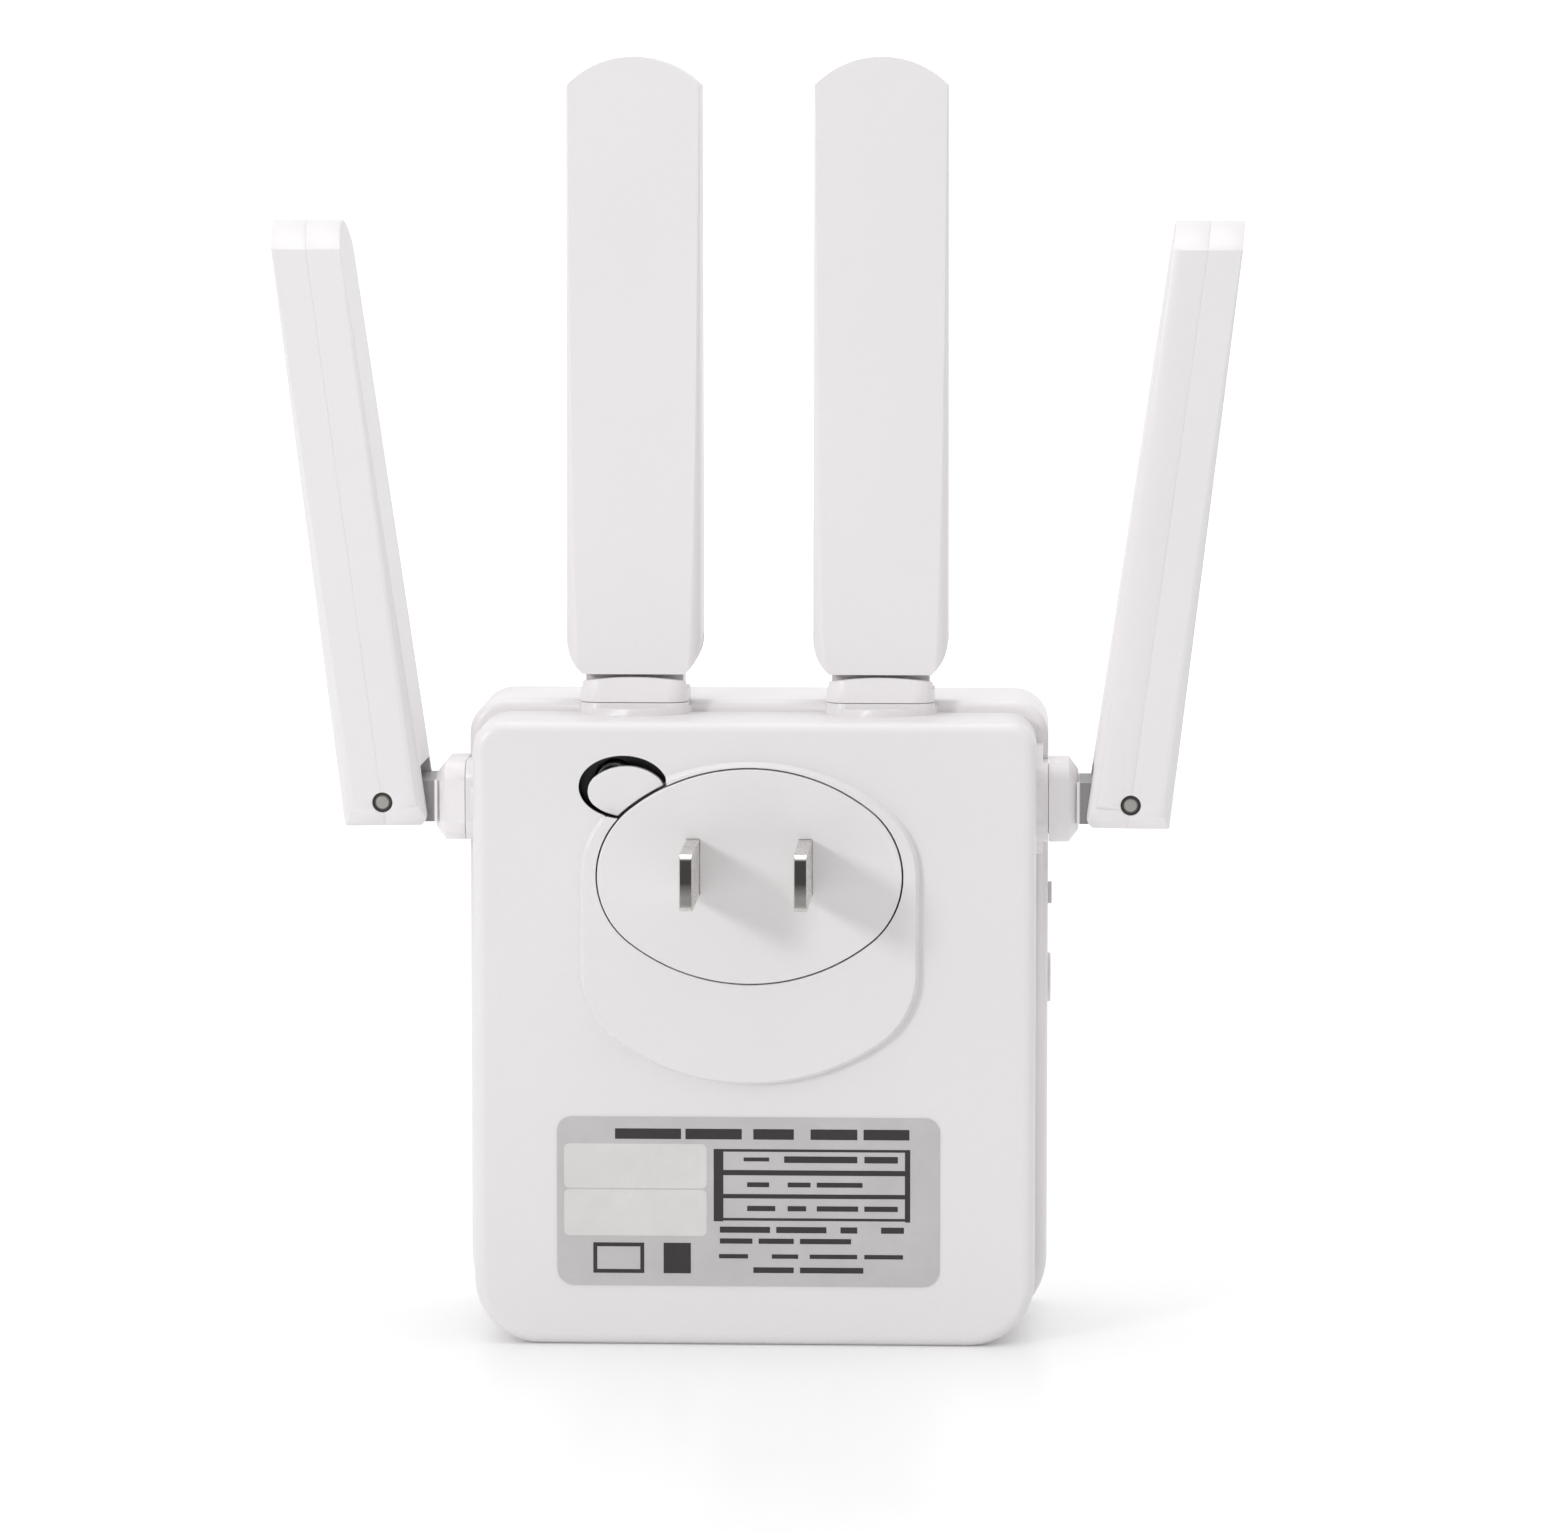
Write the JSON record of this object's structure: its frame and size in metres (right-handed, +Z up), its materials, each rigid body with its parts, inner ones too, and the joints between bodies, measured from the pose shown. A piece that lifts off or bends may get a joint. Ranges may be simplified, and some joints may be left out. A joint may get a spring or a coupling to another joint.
{
  "type": "wifi range extender",
  "caption": "Plug-in wifi range extender: rounded white casing with a lift-off mains plug, network sockets below, and folding paddle antennas on the top and sides.",
  "frame": {"origin": "middle of the bottom face, on the plane where the two covers meet", "axes": "+Z up along the antennas, -Y out of the plug side (the rear), +X right seen from the rear"},
  "size_m": [0.1104, 0.0505, 0.1459],
  "materials": {
    "antenna": "white moulded plastic, fine satin",
    "black_plastic": "black moulded housings",
    "blade_metal": "nickel-plated brass blades",
    "cable_jacket": "thin coaxial jacket",
    "capacitor_sleeve": "shrunk sleeve",
    "casing": "white moulded plastic, satin to glossy",
    "ceramic": "ceramic tube",
    "circuit_board": "green solder resist",
    "ferrite": "sintered ferrite",
    "gilt_contact": "gilt contact wires",
    "insulator": "thin insulating film",
    "knob": "grey moulded plastic",
    "label": "grey film label with plain light fields",
    "led": "small light-emitting diodes",
    "light_guide": "clear moulded light pipe",
    "pin_metal": "dark steel pin",
    "power_board": "tan laminate",
    "screw_steel": "plated steel",
    "spring_brass": "sheet brass",
    "tinned_steel": "tinned sheet",
    "winding_tape": "yellow winding tape"
  },
  "bodies": {
    "casing": {"rear_cover": "casing", "front_cover": "casing", "rating_label": "label", "light_guide": "light_guide", "status_leds": "led", "main_board": "circuit_board", "power_board": "power_board", "insulator_sheet": "insulator", "board_link": "black_plastic", "shield_can": "tinned_steel", "wifi_chip": "black_plastic", "memory_chip": "black_plastic", "wan_jack": "black_plastic", "lan_jack": "black_plastic", "jack_contacts": "gilt_contact", "reset_switch": "black_plastic", "wps_switch": "black_plastic", "mode_switch": "tinned_steel", "transformer_core": "ferrite", "transformer_winding": "winding_tape", "input_capacitor": "capacitor_sleeve", "output_capacitor": "capacitor_sleeve", "fuse": "ceramic", "contact_springs": "spring_brass", "release_spring": "screw_steel", "case_screws": "screw_steel", "board_screws": "screw_steel", "feed_cables": "cable_jacket"},
    "plug": {"plug_plate": "casing", "plug_blade_left": "blade_metal", "plug_blade_right": "blade_metal"},
    "release": {"release_button": "casing"},
    "pairing": {"wps_button": "casing"},
    "mode": {"mode_knob": "knob"},
    "reset": {"reset_plunger": "knob"},
    "top_left_swivel": {"top_left_swivel_base": "antenna", "top_left_retaining_ring": "screw_steel"},
    "top_left_antenna": {"top_left_hinge_pin": "pin_metal", "top_left_outer_half": "antenna", "top_left_inner_half": "antenna", "top_left_radiator": "spring_brass"},
    "top_right_swivel": {"top_right_swivel_base": "antenna", "top_right_retaining_ring": "screw_steel"},
    "top_right_antenna": {"top_right_hinge_pin": "pin_metal", "top_right_outer_half": "antenna", "top_right_inner_half": "antenna", "top_right_radiator": "spring_brass"},
    "side_left_swivel": {"side_left_swivel_base": "antenna", "side_left_retaining_ring": "screw_steel"},
    "side_left_antenna": {"side_left_hinge_pin": "pin_metal", "side_left_outer_half": "antenna", "side_left_inner_half": "antenna", "side_left_radiator": "spring_brass"},
    "side_right_swivel": {"side_right_swivel_base": "antenna", "side_right_retaining_ring": "screw_steel"},
    "side_right_antenna": {"side_right_hinge_pin": "pin_metal", "side_right_outer_half": "antenna", "side_right_inner_half": "antenna", "side_right_radiator": "spring_brass"}
  },
  "joints": [
    {"name": "plug_removal", "type": "slide", "parent": "casing", "child": "plug", "axis": [0, -1, 0], "range_m": [0, 0.03]},
    {"name": "release_press", "type": "slide", "parent": "casing", "child": "release", "axis": [0, 1, 0], "range_m": [0, 0.0014], "stiffness_N_per_m": 600, "deforming": ["release_spring"]},
    {"name": "pairing_press", "type": "slide", "parent": "casing", "child": "pairing", "axis": [-1, 0, 0], "range_m": [0, 0.0006], "stiffness_N_per_m": 800},
    {"name": "mode_select", "type": "slide", "parent": "casing", "child": "mode", "axis": [0, 0, 1], "range_m": [-0.0016, 0.0016]},
    {"name": "reset_press", "type": "slide", "parent": "casing", "child": "reset", "axis": [-1, 0, 0], "range_m": [0, 0.0003], "stiffness_N_per_m": 800},
    {"name": "top_left_turn", "type": "hinge", "parent": "casing", "child": "top_left_swivel", "pos_m": [-0.01405, 0, 0.0726], "axis": [0, 0, 1], "range_deg": [-90, 90]},
    {"name": "top_left_fold", "type": "hinge", "parent": "top_left_swivel", "child": "top_left_antenna", "pos_m": [-0.01405, 0, 0.0793], "axis": [-1, 0, 0], "range_deg": [0, 90]},
    {"name": "side_left_turn", "type": "hinge", "parent": "casing", "child": "side_left_swivel", "pos_m": [-0.0332, 0, 0.0614], "axis": [1, 0, 0], "range_deg": [-90, 90]},
    {"name": "side_left_fold", "type": "hinge", "parent": "side_left_swivel", "child": "side_left_antenna", "pos_m": [-0.04255, 0, 0.0614], "axis": [0, 1, 0], "range_deg": [-82.4, 7.6]},
    {"name": "top_right_turn", "type": "hinge", "parent": "casing", "child": "top_right_swivel", "pos_m": [0.01405, 0, 0.0726], "axis": [0, 0, -1], "range_deg": [-90, 90]},
    {"name": "top_right_fold", "type": "hinge", "parent": "top_right_swivel", "child": "top_right_antenna", "pos_m": [0.01405, 0, 0.0793], "axis": [-1, 0, 0], "range_deg": [0, 90]},
    {"name": "side_right_turn", "type": "hinge", "parent": "casing", "child": "side_right_swivel", "pos_m": [0.0332, 0, 0.0614], "axis": [1, 0, 0], "range_deg": [-90, 90]},
    {"name": "side_right_fold", "type": "hinge", "parent": "side_right_swivel", "child": "side_right_antenna", "pos_m": [0.04255, 0, 0.0614], "axis": [0, -1, 0], "range_deg": [-82.4, 7.6]}
  ]
}
